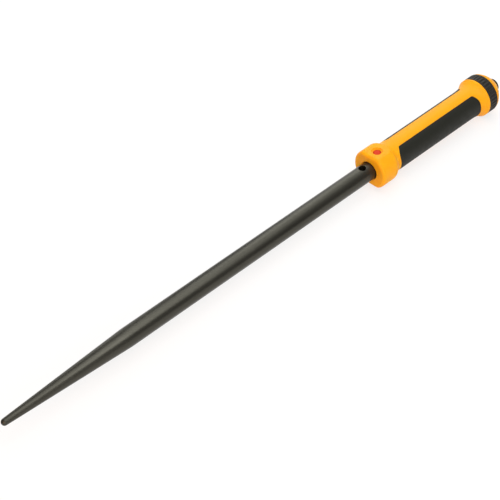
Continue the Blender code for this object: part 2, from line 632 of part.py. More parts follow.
def build():
    """Model the whole bar."""
    clear_scene()
    scene = bpy.context.scene.collection
    parts = bpy.data.collections.new("alignment_bar")
    cutters = bpy.data.collections.new("cutters")
    scene.children.link(parts)
    scene.children.link(cutters)

    orange = material("orange moulding", "#fbb432", 0.42)
    black = material("black soft grip", "#2f2f2b", 0.75)
    steel = material("dark oxide steel", "#3a3732", 0.38, 0.85)
    bright = material("plain steel", "#8f9296", 0.35, 1.0)
    bearing = material("bearing plastic", "#d9d4c6", 0.5)
    red = material("red button", "#e84d21", 0.4)

    root = add_empty("handle", parts, (0.0, 0.0, 0.0))
    slide = add_empty("shank_slide", parts, (collar_x, 0.0, 0.0))
    lock = add_empty("button_slide", parts, (button_x, 0.0, 0.0))
    slide.parent = root
    lock.parent = root

    make_handle_shell(parts, cutters, orange, root)
    make_grip_panel("grip_left", 1, parts, cutters, black, root)
    make_grip_panel("grip_right", -1, parts, cutters, black, root)
    make_wiper_ring(parts, black, root)
    make_front_bush(parts, cutters, bearing, root)
    make_guide_tube(parts, cutters, bright, root)
    make_tube_bush(parts, bearing, root)
    make_body_pins(parts, bright, root)
    make_strike_anvil(parts, cutters, bright, root)
    make_anvil_pin(parts, bright, root)
    make_end_ring(parts, cutters, black, root)
    make_end_cap(parts, orange, root)
    make_strike_cap(parts, steel, root)
    make_shank(parts, cutters, steel, slide)
    make_slide_ring(parts, cutters, bearing, slide)
    make_guide_pin(parts, bright, slide)
    make_lock_button(parts, red, lock)
    make_lock_yoke(parts, cutters, bright, lock)
    make_lock_pin(parts, cutters, bright, lock)
    make_lock_spring(parts, bright, root)


if __name__ == "__main__":
    build()
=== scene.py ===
"""Looks of an alignment bar: a dark steel shank in a moulded handle with soft grips and a push button.

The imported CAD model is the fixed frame. The bar lies along X with the strike face at the origin, the
tapered tip points along -X and the button is on top, along +Z. Lengths are metres.
"""
import logging
import math
from dataclasses import dataclass
from enum import Enum
from typing import Any, Sequence

import bmesh
import bpy
from bmesh.types import BMesh, BMVert
from bpy.types import Material, Node, NodeSocket, NodeTree, Object
from mathutils import Matrix, Vector


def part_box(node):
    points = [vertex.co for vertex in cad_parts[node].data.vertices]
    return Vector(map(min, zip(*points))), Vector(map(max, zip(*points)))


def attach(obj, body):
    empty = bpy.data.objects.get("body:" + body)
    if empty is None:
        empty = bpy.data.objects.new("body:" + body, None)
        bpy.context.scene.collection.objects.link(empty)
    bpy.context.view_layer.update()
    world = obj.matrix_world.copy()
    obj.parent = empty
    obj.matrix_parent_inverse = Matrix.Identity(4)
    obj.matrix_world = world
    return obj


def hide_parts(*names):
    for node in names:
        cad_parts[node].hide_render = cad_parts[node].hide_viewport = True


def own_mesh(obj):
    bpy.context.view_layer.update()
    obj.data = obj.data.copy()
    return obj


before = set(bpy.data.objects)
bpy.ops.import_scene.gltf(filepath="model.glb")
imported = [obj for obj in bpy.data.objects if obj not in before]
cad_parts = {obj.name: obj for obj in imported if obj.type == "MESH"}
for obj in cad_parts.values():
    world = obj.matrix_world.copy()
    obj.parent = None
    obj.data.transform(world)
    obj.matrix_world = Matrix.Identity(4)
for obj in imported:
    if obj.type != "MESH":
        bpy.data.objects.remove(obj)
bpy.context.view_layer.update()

LOG = logging.getLogger("alignment_bar")

MM = 0.001
GAP = 0.3 * MM               # between two pieces, and round a piece in its room
OVERRUN = 1.0 * MM           # how far a cutter reaches past the surface that it cuts
HAIR = 0.01 * MM             # keeps a point that lies on a limit on the right side of it
SAME_PLACE = 1e-7            # points closer than this are one
FULL_TURN = 2 * math.pi
QUARTER_TURN = math.pi / 2
ARC_STEP = 14                # most degrees between two points of a rounded corner
OWN_SIDE = 0.98              # how much of an outline's side a fillet may take
SHARED_SIDE = 0.48           # the same where the side's other corner has a fillet too
WHITE = "#ffffff"

# A spot of an outline: its place along, its place across and, if its corner is rounded, the radius.
Spot = tuple[float, ...]


class Body(Enum):
    """The CAD bodies that pieces ride on."""

    HANDLE = "handle"
    BAR = "bar"
    LOCK = "lock"


class Axis(Enum):
    """The axis that a piece is turned about."""

    X = 0
    Z = 2


class Side(Enum):
    """A side of the handle, as the sign of Y."""

    LEFT = 1
    RIGHT = -1


# Places that the frame gives


def low_corner(node: str) -> Vector:
    """The lowest corner of a CAD node at rest."""
    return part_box(node)[0]


def high_corner(node: str) -> Vector:
    """The highest corner of a CAD node at rest."""
    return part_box(node)[1]


def middle_x(node: str) -> float:
    """The middle of a CAD node along the bar."""
    return (low_corner(node).x + high_corner(node).x) / 2


@dataclass(frozen=True)
class ButtonSize:
    """The push button's sizes, which its recess and its room in the handle follow."""

    x: float = middle_x("lock_button")
    base_z: float = low_corner("lock_button").z
    flange_top_z: float = 14.0 * MM
    flange_radius: float = high_corner("lock_button").y
    radius: float = 3.7 * MM
    top_z: float = 15.75 * MM
    dome: float = 0.25 * MM
    segments: int = 72


BUTTON = ButtonSize()


# Outlines


@dataclass(frozen=True)
class Corner:
    """One corner of an outline, with the radius that rounds it."""

    along: float
    across: float
    fillet: float = 0.0


def share_of_side(neighbour: Corner) -> float:
    """How much of the side to a neighbouring corner a fillet may take."""
    return SHARED_SIDE if neighbour.fillet > 0.0 else OWN_SIDE


def rounded(outline: Sequence[Spot], closed: bool = True) -> list[Spot]:
    """Round the corners of an outline.

    Args:
        outline: the outline's corners in order.
        closed: whether the last corner joins the first.

    Returns:
        The outline's points, with an arc at each corner that has a radius.
    """
    corners = [Corner(*spot) for spot in outline]
    points: list[Spot] = []
    count = len(corners)
    for i, corner in enumerate(corners):
        here = Vector((corner.along, corner.across))
        at_end = not closed and i in (0, count - 1)
        if corner.fillet <= 0.0 or at_end:
            points.append(tuple(here))
            continue
        before = corners[i - 1]
        after = corners[(i + 1) % count]
        back = Vector((before.along, before.across)) - here
        ahead = Vector((after.along, after.across)) - here
        turn = math.pi - back.angle(ahead)
        room = min(back.length * share_of_side(before), ahead.length * share_of_side(after))
        reach = min(corner.fillet * math.tan(turn / 2), room)
        radius = reach / math.tan(turn / 2)
        start = here + back.normalized() * reach
        centre = here + (back.normalized() + ahead.normalized()).normalized() * math.hypot(radius, reach)
        spoke = start - centre
        sign = 1.0 if back.x * ahead.y - back.y * ahead.x < 0.0 else -1.0
        steps = max(2, math.ceil(math.degrees(turn) / ARC_STEP))
        for step in range(steps + 1):
            bend = Matrix.Rotation(sign * turn * step / steps, 2)
            points.append(tuple(centre + bend @ spoke))
    return points


def straight(start: Spot, end: Spot, spacing: float) -> list[Spot]:
    """Spots along a straight line, about evenly spaced, without its two ends."""
    count = max(1, round(math.dist(start, end) / spacing))
    return [tuple(a + (b - a) * i / count for a, b in zip(start, end)) for i in range(1, count)]


def soft_min(value: float, limit: float, blend: float) -> float:
    """The lower of a value and a limit, rounded off where they are closer than the blend."""
    overlap = max(blend - abs(value - limit), 0.0) / blend
    return min(value, limit) - overlap * overlap * blend / 4


def smooth_step(value: float, low: float, high: float) -> float:
    """A share from 0 at the low value to 1 at the high one, without a kink at either end."""
    share = min(max((value - low) / (high - low), 0.0), 1.0)
    return share * share * (3.0 - 2.0 * share)


# Meshes


def face_outwards(bm: BMesh) -> None:
    """Turn the faces of a closed bmesh outwards.

    Args:
        bm: the bmesh.
    """
    bmesh.ops.recalc_face_normals(bm, faces=bm.faces)
    if bm.calc_volume(signed=True) < 0.0:
        bmesh.ops.reverse_faces(bm, faces=bm.faces)


def turned_bmesh(profile: Sequence[Spot], segments: int, axis: Axis = Axis.X, closed: bool = True) -> BMesh:
    """Turn a profile about an axis.

    Args:
        profile: points as (place along the axis, radius).
        segments: how many steps the full turn has.
        axis: the axis that it turns about.
        closed: whether the last point joins the first, as in a ring.

    Returns:
        A closed bmesh with its faces pointing outwards.
    """
    bm = bmesh.new()
    if axis is Axis.X:
        verts = [bm.verts.new((along, 0.0, radius)) for along, radius in profile]
        direction = (1.0, 0.0, 0.0)
    else:
        verts = [bm.verts.new((radius, 0.0, along)) for along, radius in profile]
        direction = (0.0, 0.0, 1.0)
    pairs = list(zip(verts, verts[1:]))
    if closed:
        pairs.append((verts[-1], verts[0]))
    edges = [bm.edges.new(pair) for pair in pairs]
    bmesh.ops.spin(bm, geom=verts + edges, cent=(0.0, 0.0, 0.0), axis=direction, dvec=(0.0, 0.0, 0.0),
                   angle=FULL_TURN, steps=segments, use_merge=True, use_duplicate=False)
    bmesh.ops.remove_doubles(bm, verts=bm.verts, dist=SAME_PLACE)
    face_outwards(bm)
    return bm


def upright(profile: Sequence[Spot], segments: int, x: float, on_y: bool = False) -> BMesh:
    """Turn a profile about an upright axis somewhere along the bar.

    Args:
        profile: points as (height, radius), from the axis back to the axis.
        segments: how many steps the full turn has.
        x: the axis's place along the bar.
        on_y: whether the finished shape is laid along Y.

    Returns:
        A closed bmesh with its faces pointing outwards.
    """
    bm = turned_bmesh(profile, segments, Axis.Z, closed=False)
    if on_y:
        bmesh.ops.rotate(bm, verts=bm.verts, matrix=Matrix.Rotation(QUARTER_TURN, 3, "X"))
    bmesh.ops.translate(bm, verts=bm.verts, vec=(x, 0.0, 0.0))
    return bm


def rod_profile(radius: float, start: float, end: float) -> list[Spot]:
    """The section of a plain rod between two places along its axis."""
    return [(start, 0.0), (start, radius), (end, radius), (end, 0.0)]


def box_bmesh(low: Sequence[float], high: Sequence[float], corner: float) -> BMesh:
    """Model a box with its four long edges along X rounded.

    Args:
        low: its lowest corner.
        high: its highest corner.
        corner: the radius of the rounded edges.

    Returns:
        The box as a closed bmesh.
    """
    bm = bmesh.new()
    bmesh.ops.create_cube(bm, size=1.0)
    bmesh.ops.scale(bm, verts=bm.verts, vec=[b - a for a, b in zip(low, high)])
    bmesh.ops.translate(bm, verts=bm.verts, vec=[(a + b) / 2 for a, b in zip(low, high)])
    along_x = [e for e in bm.edges if abs((e.verts[0].co - e.verts[1].co).x) > SAME_PLACE]
    bmesh.ops.bevel(bm, geom=along_x, offset=corner, segments=5, profile=0.5, affect="EDGES", material=-1)
    return bm


def place(name: str, bm: BMesh) -> Object:
    """Link a bmesh as an object at the origin and free it.

    Args:
        name: the object's name.
        bm: its shape.

    Returns:
        The object.
    """
    mesh = bpy.data.meshes.new(name)
    bm.to_mesh(mesh)
    bm.free()
    obj = bpy.data.objects.new(name, mesh)
    bpy.context.scene.collection.objects.link(obj)
    return obj


def settle(obj: Object) -> None:
    """Apply an object's modifiers to its mesh.

    Args:
        obj: the object.
    """
    bpy.context.view_layer.update()
    graph = bpy.context.evaluated_depsgraph_get()
    mesh = bpy.data.meshes.new_from_object(obj.evaluated_get(graph))
    rough = obj.data
    obj.modifiers.clear()
    obj.data = mesh
    bpy.data.meshes.remove(rough)
    mesh.name = obj.name


def cut(obj: Object, cutters: Sequence[BMesh]) -> None:
    """Cut one object with several shapes, one after another.

    Args:
        obj: the object that is cut.
        cutters: the shapes, which are freed.
    """
    for i, shape in enumerate(cutters):
        cutter = place(f"cutter_{i}", shape)
        boolean = obj.modifiers.new("Cut", "BOOLEAN")
        boolean.operation = "DIFFERENCE"
        boolean.solver = "EXACT"
        boolean.object = cutter
        settle(obj)
        mesh = cutter.data
        bpy.data.objects.remove(cutter)
        bpy.data.meshes.remove(mesh)


def smooth(obj: Object, sharp_degrees: float, weighted: bool) -> None:
    """Shade an object smooth apart from its sharp edges.

    Args:
        obj: the object that is shaded.
        sharp_degrees: the angle past which an edge is sharp.
        weighted: whether large faces set the shading, as on a mesh that was cut.
    """
    mesh = obj.data
    mesh.polygons.foreach_set("use_smooth", [True] * len(mesh.polygons))
    mesh.set_sharp_from_angle(angle=math.radians(sharp_degrees))
    if weighted:
        normals = obj.modifiers.new("Normals", "WEIGHTED_NORMAL")
        normals.keep_sharp = True
        normals.weight = 60
        settle(obj)


# Finishes


def linear(code: str) -> tuple[float, ...]:
    """An sRGB hex colour as linear red, green, blue and alpha."""
    bright = [int(code[i:i + 2], 16) / 255 for i in (1, 3, 5)]
    return (*(c / 12.92 if c <= 0.04045 else ((c + 0.055) / 1.055) ** 2.4 for c in bright), 1.0)


def add_node(tree: NodeTree, kind: str, inputs: dict[Any, Any] | None = None, **settings: Any) -> Node:
    """Add one node.

    Args:
        tree: the tree that it is added to.
        kind: the node's type.
        inputs: values of its inputs by name or number, where a socket makes a link.
        settings: the node's own settings.

    Returns:
        The new node.
    """
    node = tree.nodes.new(kind)
    for name, value in settings.items():
        setattr(node, name, value)
    for key, value in (inputs or {}).items():
        socket = node.inputs[key]
        if isinstance(value, NodeSocket):
            tree.links.new(value, socket)
        else:
            socket.default_value = value
    return node


def noise(tree: NodeTree, spot: NodeSocket, size: float, detail: float, roughness: float = 0.5) -> NodeSocket:
    """The strength of a noise texture whose features are a number of millimetres across."""
    inputs = {"Vector": spot, "Scale": 1.0 / (size * MM), "Detail": detail, "Roughness": roughness}
    return add_node(tree, "ShaderNodeTexNoise", inputs).outputs["Fac"]


@dataclass(frozen=True)
class Finish:
    """A surface with a mottled colour, an uneven gloss and a fine relief.

    The two colours blend over the mottle's size, the roughness swings over the gloss patches' size and
    the relief has its own grain. Sizes are in millimetres.
    """

    name: str
    colour: str
    second_colour: str
    roughness: float
    metallic: float = 0.0
    specular: float = 0.5
    mottle: float = 20.0
    gloss_patch: float = 9.0
    gloss_swing: float = 0.05
    grain: float = 0.5
    grain_depth: float = 0.02
    grain_stretch: tuple[float, float, float] = (1.0, 1.0, 1.0)
    subsurface: float = 0.0
    subsurface_reach: float = 2.0

    def material(self) -> Material:
        """Make the material of this finish, once.

        Returns:
            The material.
        """
        made = bpy.data.materials.get(self.name)
        if made:
            return made
        made = bpy.data.materials.new(self.name)
        made.use_nodes = True
        made.diffuse_color = linear(self.colour)
        shader = made.node_tree.nodes["Principled BSDF"]
        for name, value in (("Metallic", self.metallic), ("Specular IOR Level", self.specular),
                            ("Subsurface Weight", self.subsurface),
                            ("Subsurface Scale", self.subsurface_reach * MM)):
            shader.inputs[name].default_value = value
        self.dress(made.node_tree, shader)
        return made

    def dress(self, tree: NodeTree, shader: Node) -> None:
        """Add the nodes for colour, gloss and relief.

        Args:
            tree: the material's tree.
            shader: its Principled node.
        """
        spot = add_node(tree, "ShaderNodeTexCoord").outputs["Object"]
        mapping = add_node(tree, "ShaderNodeMapping", {"Vector": spot, "Scale": self.grain_stretch})
        stretched = mapping.outputs["Vector"]
        colour = add_node(tree, "ShaderNodeMix",
                          {0: noise(tree, spot, self.mottle, 4.0, 0.55), 6: linear(self.colour),
                           7: linear(self.second_colour)}, data_type="RGBA")
        rough = add_node(tree, "ShaderNodeMapRange",
                         {"Value": noise(tree, stretched, self.gloss_patch, 3.0),
                          "From Min": 0.3, "From Max": 0.7,
                          "To Min": self.roughness - self.gloss_swing,
                          "To Max": self.roughness + self.gloss_swing})
        relief = add_node(tree, "ShaderNodeBump",
                          {"Height": noise(tree, stretched, self.grain, 2.0),
                           "Distance": self.grain_depth * MM, "Strength": 1.0})
        tree.links.new(colour.outputs[2], shader.inputs["Base Color"])
        tree.links.new(rough.outputs["Result"], shader.inputs["Roughness"])
        tree.links.new(relief.outputs["Normal"], shader.inputs["Normal"])


# Glass-filled nylon, injection moulded in a spark-eroded die: a satin yellow-orange whose gloss is
# broken by a fine even grain, with slight flow clouds in the colour. The grain is drawn at 0.6 mm.
ORANGE_MOULDING = Finish("moulded_orange_nylon", "#fcad1a", "#faa814", 0.42, specular=0.12, mottle=24.0,
                         grain=0.6, grain_depth=0.012, subsurface=0.2)

# Thermoplastic elastomer moulded over the body: dull and near black, with a fine skin texture that
# spreads the light into a soft sheen.
SOFT_GRIP = Finish("soft_grip_elastomer", "#161810", "#1b1d15", 0.62, specular=0.35, mottle=14.0,
                   gloss_patch=6.0, grain=0.7, grain_depth=0.03)

# Vulcanised rubber ring: a little greyer than the grips where hands have rubbed its ribs.
RING_RUBBER = Finish("ribbed_ring_rubber", "#1c1b16", "#26241e", 0.58, specular=0.35, mottle=6.0,
                     gloss_patch=4.0, grain=0.5, grain_depth=0.02)

# Ground tool steel, black oxide in oil: a neutral dark grey metal that mirrors broad soft shapes, with
# fine grinding lines along the bar and faint oil clouds.
BLACK_OXIDE_STEEL = Finish("black_oxide_steel", "#4c4b44", "#45443d", 0.36, metallic=0.9, mottle=16.0,
                           gloss_patch=9.0, gloss_swing=0.07, grain=0.7, grain_depth=0.014,
                           grain_stretch=(0.04, 1.0, 1.0))

# Hardened steel left as forged and blackened: nearly black, dull, with the small dents of hammer blows.
STRUCK_STEEL = Finish("struck_steel", "#110f0d", "#181613", 0.5, metallic=0.6, mottle=5.0,
                      gloss_patch=3.0, gloss_swing=0.1, grain=1.6, grain_depth=0.05)

# Free-cutting steel as turned, with the fine even rings of the tool's feed along the axis.
TURNED_STEEL = Finish("turned_steel", "#a3a5a8", "#94979b", 0.32, metallic=1.0, mottle=12.0,
                      gloss_patch=5.0, grain=0.5, grain_depth=0.01, grain_stretch=(1.0, 0.1, 0.1))

# Acetal bearing stock: creamy, slightly waxy, with faint machining marks.
BEARING_PLASTIC = Finish("bearing_acetal", "#ddd8ca", "#d2ccbc", 0.45, mottle=10.0, grain=0.5,
                         grain_depth=0.01)

# ABS moulded in a polished die: a clean warm red with a soft clear highlight.
RED_BUTTON = Finish("moulded_red_abs", "#d43c10", "#cb360e", 0.4, specular=0.1, mottle=4.0,
                    gloss_patch=3.0, grain=0.5, grain_depth=0.006)


# Sub-assemblies


def dress(obj: Object, finish: Finish) -> None:
    """Give an object one finish all over.

    Args:
        obj: the object.
        finish: its finish.
    """
    if not obj.material_slots:
        obj.data.materials.append(None)
    for slot in obj.material_slots:
        slot.material = finish.material()


def piece(name: str, bm: BMesh, node: str, finish: Finish, body: Body = Body.HANDLE,
          cutters: Sequence[BMesh] = (), sharp_degrees: float = 32.0, weighted: bool = False) -> Object:
    """Make one piece and put it in the place of a CAD node.

    Args:
        name: its name.
        bm: its shape.
        node: the CAD node that it replaces.
        finish: its finish.
        body: the body that it rides on.
        cutters: shapes that are cut from it.
        sharp_degrees: the angle past which an edge is sharp.
        weighted: whether large faces set the shading, as on a mesh that is cut.

    Returns:
        The finished piece.
    """
    obj = place(name, bm)
    cut(obj, cutters)
    smooth(obj, sharp_degrees, weighted)
    dress(obj, finish)
    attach(obj, body.value)
    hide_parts(node)
    LOG.info("%s stands for %s: %d faces", obj.name, node, len(obj.data.polygons))
    return obj


@dataclass
class Handle:
    """The moulded handle body with its two soft grip panels."""

    front_x: float = low_corner("handle_shell").x
    rear_x: float = high_corner("handle_shell").x
    collar_radius: float = 19.75 * MM
    collar_length: float = 16.4 * MM
    collar_fillet: float = 3.2 * MM
    collar_spacing: float = 1.7 * MM
    shoulder_length: float = 6.2 * MM
    shoulder_sweep: float = 54.0
    shoulder_steps: int = 14
    foot_fillet: float = 6.5 * MM
    grip_radius: float = 15.75 * MM
    grip_spacing: float = 4.0 * MM
    flare_length: float = 18.0 * MM
    flare_power: float = 3.4
    flare_even_share: float = 0.08
    flare_steps: int = 18
    rim_radius: float = high_corner("handle_shell").z
    rim_land: float = 1.8 * MM
    rim_fillet: float = 0.5 * MM
    rear_fillet: float = 0.35 * MM
    bore: float = 12.5 * MM
    bore_margin: float = 1.0 * MM
    bore_spacing: float = 8.0 * MM
    mouth_radius: float = 9.5 * MM
    mouth_fillet: float = 0.5 * MM
    lip: float = 1.6 * MM
    lip_fillet: float = 0.4 * MM
    flat_blend: float = 0.7 * MM
    shoulder_blend: float = 1.5 * MM
    recess_radius: float = 5.3 * MM
    recess_z: float = high_corner("lock_button").z
    recess_depth: float = 1.2 * MM
    recess_fillet: float = 0.4 * MM
    recess_rim: float = 0.3 * MM
    recess_rim_degrees: tuple[int, ...] = (0, 16, 32, 48, 64, 78)
    recess_overrun: float = 0.05 * MM
    hole_chamfer: float = 0.15 * MM
    panel_front_x: float = low_corner("grip_left").x - 0.3 * MM
    panel_rear_x: float = high_corner("grip_left").x + 0.35 * MM
    panel_edge_angle: float = 28.2
    panel_end_radius: float = 10.75 * MM
    panel_end_flat: float = 5.0 * MM
    panel_end_steps: int = 14
    panel_front_corner: float = 1.8 * MM
    panel_rear_corner: float = 2.6 * MM
    panel_thickness: float = 1.65 * MM
    panel_rounding: float = 0.5 * MM
    panel_gap: float = 0.1 * MM
    pocket_height: float = 2.0 * MM
    slice_length: float = 4.0 * MM
    slices_along: int = 25
    flare_slice_length: float = 1.0 * MM
    flare_slices: int = 9
    slice_width: float = 1.1 * MM
    slices_each_side: int = 15
    yoke_thickness: float = 3.0 * MM
    yoke_side_gap: float = 0.4 * MM
    yoke_travel: float = 1.5 * MM
    yoke_corner: float = 3.0 * MM
    bottom_wall: float = 1.5 * MM
    pin_room_reach: float = 14.4 * MM
    segments: int = 192
    spring_room_segments: int = 48
    pin_room_segments: int = 24

    @property
    def shoulder_x(self) -> float:
        """Where the collar's shoulder starts."""
        return self.front_x + self.collar_length

    @property
    def rim_x(self) -> float:
        """Where the flare ends."""
        return self.rear_x - self.rim_land

    @property
    def flare_x(self) -> float:
        """Where the flare starts."""
        return self.rim_x - self.flare_length

    @property
    def flat_z(self) -> float:
        """The height of the collar's flat."""
        return self.recess_z + self.recess_depth

    def outer_radius(self, x: float) -> float:
        """Work out the grip's outer radius, flare included.

        Args:
            x: the place along the bar.

        Returns:
            The radius there.
        """
        share = min(max((x - self.flare_x) / self.flare_length, 0.0), 1.0)
        even = self.flare_even_share
        rise = even * share + (1.0 - even) * share ** self.flare_power
        return self.grip_radius + (self.rim_radius - self.grip_radius) * rise

    def shoulder(self) -> list[Spot]:
        """Shape the collar's rounded shoulder and the hollow foot that leads into the grip.

        Returns:
            The spots from the collar's radius down to the grip's.
        """
        drop = self.collar_radius - self.grip_radius
        sweep = math.radians(self.shoulder_sweep)
        spots: list[Spot] = []
        for i in range(self.shoulder_steps + 1):
            angle = sweep * i / self.shoulder_steps
            spots.append((self.shoulder_x + self.shoulder_length * math.sin(angle),
                          self.collar_radius - drop * (1.0 - math.cos(angle))))
        slope = self.shoulder_length * math.cos(sweep) / (drop * math.sin(sweep))
        foot_x = spots[-1][0] + (spots[-1][1] - self.grip_radius) * slope
        return spots + [(foot_x, self.grip_radius, self.foot_fillet)]

    def profile(self) -> list[Spot]:
        """Draw the body's section: outside from the mouth to the rim, then back along the bore.

        Returns:
            Its points as (place along the bar, radius).
        """
        neck_x = self.shoulder_x + self.shoulder_length
        lip_x = self.front_x + self.lip
        spots: list[Spot] = [(self.front_x, self.mouth_radius, self.mouth_fillet),
                             (self.front_x, self.collar_radius, self.collar_fillet)]
        spots += straight((self.front_x + self.collar_fillet, self.collar_radius),
                          (self.shoulder_x, self.collar_radius), self.collar_spacing)
        spots += self.shoulder()
        spots += straight((neck_x, self.grip_radius), (self.flare_x, self.grip_radius), self.grip_spacing)
        for i in range(self.flare_steps):
            x = self.flare_x + self.flare_length * i / self.flare_steps
            spots.append((x, self.outer_radius(x)))
        spots += [(self.rim_x, self.rim_radius, self.rim_fillet),
                  (self.rear_x, self.rim_radius, self.rear_fillet), (self.rear_x, self.bore)]
        spots += straight((self.rear_x, self.bore), (lip_x, self.bore), self.bore_spacing)
        spots += [(lip_x, self.bore), (lip_x, self.mouth_radius, self.lip_fillet)]
        return rounded(spots)

    def flatten(self, bm: BMesh) -> None:
        """Press the collar's two flats, which roll into the front face as the collar does.

        Args:
            bm: the turned body.
        """
        front_end_x = self.front_x + self.collar_fillet - HAIR
        for vert in bm.verts:
            radius = math.hypot(vert.co.y, vert.co.z)
            if vert.co.x > self.panel_front_x or radius < self.bore + self.bore_margin:
                continue
            inset = self.collar_radius - radius if vert.co.x < front_end_x else 0.0
            late = smooth_step(vert.co.x, self.shoulder_x, self.shoulder_x + self.shoulder_length / 2)
            blend = self.flat_blend + (self.shoulder_blend - self.flat_blend) * late
            height = soft_min(abs(vert.co.z), self.flat_z - inset, blend)
            vert.co.z = math.copysign(height, vert.co.z)

    def end_inset(self, angle: float) -> float:
        """How far a panel's end is set in at an angle from the top of the handle, in radians."""
        height = max(abs(self.grip_radius * math.cos(angle)) - self.panel_end_flat, 0.0)
        return self.panel_end_radius - math.sqrt(self.panel_end_radius ** 2 - height ** 2)

    def panel_outline(self, margin: float) -> list[Spot]:
        """Draw a panel's outline rolled out flat, as (x, arc length from the panel's middle).

        Args:
            margin: how far the outline is moved outwards.

        Returns:
            The outline's points in order.
        """
        half_arc = math.radians(90.0 - self.panel_edge_angle)
        edge = half_arc * self.grip_radius + margin
        steps = self.panel_end_steps
        front: list[Spot] = []
        rear: list[Spot] = []
        for i in range(steps + 1):
            angle = -half_arc + 2 * half_arc * i / steps
            inset = self.end_inset(QUARTER_TURN + angle)
            across = angle * edge / half_arc
            at_corner = i in (0, steps)
            front_fillet = self.panel_front_corner + margin if at_corner else 0.0
            rear_fillet = self.panel_rear_corner + margin if at_corner else 0.0
            front.append((self.panel_front_x - margin + inset, across, front_fillet))
            rear.append((self.panel_rear_x + margin - inset, across, rear_fillet))
        return rounded(front + rear[::-1])

    def plate(self, side: Side, margin: float, low: float, high: float, rounding: float) -> BMesh:
        """Wrap a plate with a grip panel's outline round the handle.

        Args:
            side: the side of the handle.
            margin: how far its outline is moved outwards.
            low: its underside, measured from the handle's surface, negative inwards.
            high: its outer face, measured likewise.
            rounding: the radius of its outer edge.

        Returns:
            The wrapped plate as a closed bmesh.
        """
        bm = bmesh.new()
        bm.faces.new([bm.verts.new((x, s, low)) for x, s in self.panel_outline(margin)])
        raised = bmesh.ops.extrude_face_region(bm, geom=bm.faces[:])
        top = [v for v in raised["geom"] if isinstance(v, BMVert)]
        bmesh.ops.translate(bm, verts=top, vec=(0.0, 0.0, high - low))
        if rounding:
            rim = [e for e in bm.edges if all(abs(v.co.z - high) < SAME_PLACE for v in e.verts)]
            bmesh.ops.bevel(bm, geom=rim, offset=rounding, segments=3, profile=0.5, affect="EDGES",
                            material=-1)
        self.slice(bm)
        for vert in bm.verts:
            angle = QUARTER_TURN + vert.co.y / self.grip_radius
            radius = self.outer_radius(vert.co.x) + vert.co.z
            vert.co = (vert.co.x, side.value * radius * math.sin(angle), radius * math.cos(angle))
        face_outwards(bm)
        return bm

    def slice(self, bm: BMesh) -> None:
        """Slice a flat plate into small faces, so that it can be wrapped.

        Args:
            bm: the plate.
        """
        along = [self.panel_front_x + self.slice_length * (i + 1) for i in range(self.slices_along)]
        along += [self.flare_x + self.flare_slice_length * (i + 1) for i in range(self.flare_slices)]
        reach = self.slices_each_side
        across = [self.slice_width * i for i in range(-reach, reach + 1)]
        planes = [((x, 0.0, 0.0), (1.0, 0.0, 0.0)) for x in along]
        planes += [((0.0, s, 0.0), (0.0, 1.0, 0.0)) for s in across]
        for spot, direction in planes:
            everything = bm.verts[:] + bm.edges[:] + bm.faces[:]
            bmesh.ops.bisect_plane(bm, geom=everything, dist=SAME_PLACE, plane_co=spot,
                                   plane_no=direction)

    def button_cutter(self) -> BMesh:
        """Shape the recess, the button's hole and the room for its flange, as one turned cutter.

        Returns:
            The cutter as a closed bmesh.
        """
        hole = BUTTON.radius + GAP
        room = BUTTON.flange_radius + GAP
        room_top = BUTTON.flange_top_z + GAP
        spots: list[Spot] = [(0.0, 0.0), (0.0, room), (room_top, room), (room_top, hole),
                             (self.recess_z - self.hole_chamfer, hole),
                             (self.recess_z, hole + self.hole_chamfer),
                             (self.recess_z, self.recess_radius, self.recess_fillet)]
        for degrees in self.recess_rim_degrees:
            angle = math.radians(degrees)
            spots.append((self.flat_z - self.recess_rim * (1.0 - math.sin(angle)),
                          self.recess_radius + self.recess_rim * (1.0 - math.cos(angle))))
        top = self.flat_z + self.recess_overrun
        outer = spots[-1][1] + (top - spots[-1][0]) * math.tan(math.radians(self.recess_rim_degrees[-1]))
        spots += [(top, outer), (self.flat_z + OVERRUN, outer), (self.flat_z + OVERRUN, 0.0)]
        return upright(rounded(spots, closed=False), BUTTON.segments, BUTTON.x)

    def room_cutters(self) -> list[BMesh]:
        """Shape the hidden rooms for the yoke, its spring and the body pins.

        Returns:
            The three cutters.
        """
        yoke_low, yoke_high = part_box("lock_yoke")
        half_length = self.yoke_thickness / 2 + GAP
        half_width = yoke_high.y + self.yoke_side_gap
        bottom = yoke_low.z - self.yoke_travel - GAP
        yoke = box_bmesh((BUTTON.x - half_length, -half_width, bottom),
                         (BUTTON.x + half_length, half_width, yoke_high.z + GAP), self.yoke_corner)
        boss_radius = (yoke_high.x - yoke_low.x) / 2
        spring = upright(rod_profile(boss_radius + GAP, self.bottom_wall - self.flat_z, 0.0),
                         self.spring_room_segments, BUTTON.x)
        pin_radius = high_corner("body_pin_left").z
        pins = upright(rod_profile(pin_radius + GAP, -self.pin_room_reach, self.pin_room_reach),
                       self.pin_room_segments, middle_x("body_pin_left"), on_y=True)
        return [yoke, spring, pins]

    def make_body(self) -> Object:
        """Model the moulded body with its flats, recess, pockets and rooms.

        Returns:
            The finished piece.
        """
        bm = turned_bmesh(self.profile(), self.segments)
        self.flatten(bm)
        floor = -self.panel_thickness - self.panel_gap / 2
        cutters = [self.plate(side, self.panel_gap, floor, self.pocket_height, 0.0) for side in Side]
        cutters += [self.button_cutter()] + self.room_cutters()
        return piece("handle_body", bm, "handle_shell", ORANGE_MOULDING,
                     cutters=cutters, weighted=True)

    def make_panel(self, side: Side) -> Object:
        """Model one soft grip panel.

        Args:
            side: the side of the handle.

        Returns:
            The finished piece.
        """
        label = side.name.lower()
        bm = self.plate(side, 0.0, -self.panel_thickness, 0.0, self.panel_rounding)
        return piece(f"grip_panel_{label}", bm, f"grip_{label}", SOFT_GRIP, weighted=True)

